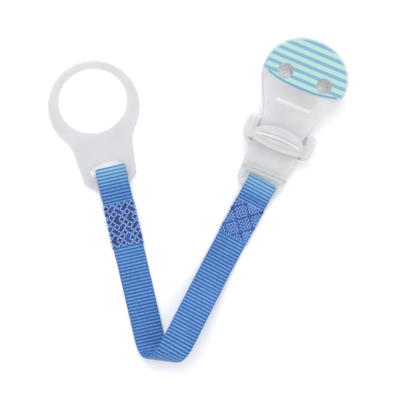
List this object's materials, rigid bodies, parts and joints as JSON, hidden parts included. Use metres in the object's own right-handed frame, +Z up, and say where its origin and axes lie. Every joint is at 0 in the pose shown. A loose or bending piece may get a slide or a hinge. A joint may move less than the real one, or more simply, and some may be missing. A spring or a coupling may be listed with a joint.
{
  "type": "soother holder clip",
  "caption": "Garment clip with a locking collar, a folded grosgrain ribbon strap and a soft ring that holds a soother.",
  "frame": {"origin": "on the clip's underside, on its centre line, below the line where the front jaw ends", "axes": "+Y along the clip towards its round head, +X across the clip, +Z up from the table; the strap leaves towards -Y"},
  "size_m": [0.1139, 0.1482, 0.0138],
  "materials": {
    "clip_plastic": "clear, slightly frosted polypropylene",
    "collar_plastic": "clear, slightly frosted polypropylene",
    "printed_film": "glossy film printed with plain blue and pale green stripes",
    "ribbon": "blue polyester grosgrain",
    "thread": "navy and pale blue sewing thread",
    "ring_plastic": "soft frosted elastomer"
  },
  "bodies": {
    "clip": {"base_jaw": "clip_plastic"},
    "front_jaw": {"front_jaw": "clip_plastic", "face_film": "printed_film"},
    "collar": {"collar": "collar_plastic"},
    "clip_leg": {"strap_clip_loop": "ribbon", "strap_clip_leg": "ribbon", "clip_end_stitching": "thread"},
    "ring_leg": {"strap_fold": "ribbon", "strap_ring_leg": "ribbon", "ring_end_stitching": "thread", "strap_ring_loop": "ribbon"},
    "ring": {"ring": "ring_plastic"}
  },
  "joints": [
    {"name": "collar_slide", "type": "slide", "parent": "clip", "child": "collar", "axis": [0, 1, 0], "range_m": [-0.0082, 0.0055]},
    {"name": "jaw_open", "type": "hinge", "parent": "clip", "child": "front_jaw", "pos_m": [0, 0.0014, 0.0033], "axis": [1, 0, 0], "range_deg": [-2, 2.97]},
    {"name": "strap_swing", "type": "hinge", "parent": "clip", "child": "clip_leg", "pos_m": [0.00027, -0.00961, 0.0019], "axis": [-0.9951, 0.0985, 0], "range_deg": [-90, 90], "deforming": ["strap_clip_loop"]},
    {"name": "fold_open", "type": "hinge", "parent": "clip_leg", "child": "ring_leg", "pos_m": [-0.01022, -0.08815, 0.0068], "axis": [-0.9662, -0.258, 0], "range_deg": [0, 170], "deforming": ["strap_fold"]},
    {"name": "ring_swing", "type": "hinge", "parent": "ring_leg", "child": "ring", "pos_m": [-0.05369, -0.03197, 0.0018], "axis": [0.8136, 0.5814, 0], "range_deg": [-90, 90], "deforming": ["strap_ring_loop"]}
  ],
  "couplings": [
    {"joint": "jaw_open", "follows": "collar_slide", "rad_per_m": -6.2832}
  ]
}
